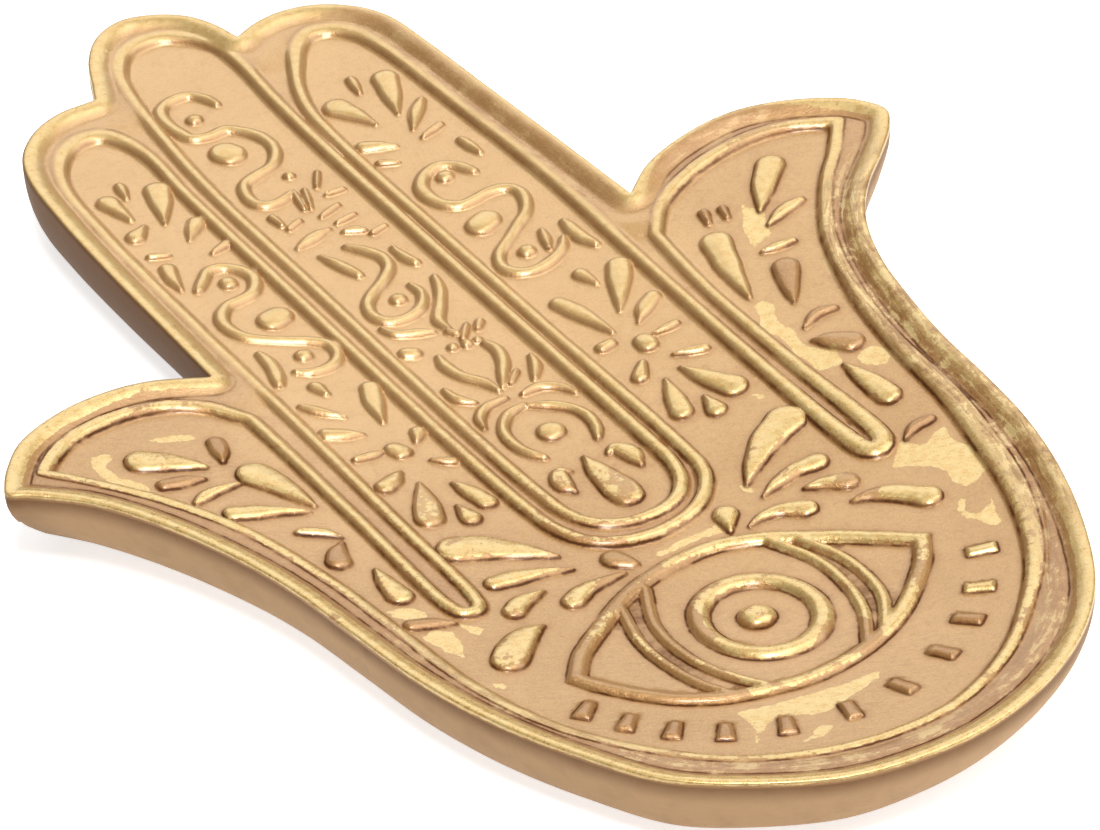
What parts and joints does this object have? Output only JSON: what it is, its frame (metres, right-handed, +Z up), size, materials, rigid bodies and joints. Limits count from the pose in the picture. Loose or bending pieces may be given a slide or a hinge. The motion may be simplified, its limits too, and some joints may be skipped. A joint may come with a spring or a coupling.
{
  "type": "decorative dish",
  "caption": "Shallow decorative dish in the shape of an open hand, with a raised rim, ribbed finger panels, an eye and scroll relief in antique gold, standing on felt pads.",
  "frame": {"origin": "middle of the box round the whole dish, at the height of the table it stands on", "axes": "+Y from the heel of the hand to the fingers, +Z up out of the dish"},
  "size_m": [0.1754, 0.25, 0.0166],
  "materials": {
    "antique_gold": "cast resin with a satin antique-gold coat and worn leaf gilding",
    "felt": "felt"
  },
  "bodies": {
    "root": {"tray_casting": "antique_gold", "pad_heel": "felt", "pad_thumb_left": "felt", "pad_thumb_right": "felt", "pad_finger_left": "felt", "pad_finger_middle": "felt", "pad_finger_right": "felt"}
  },
  "joints": []
}
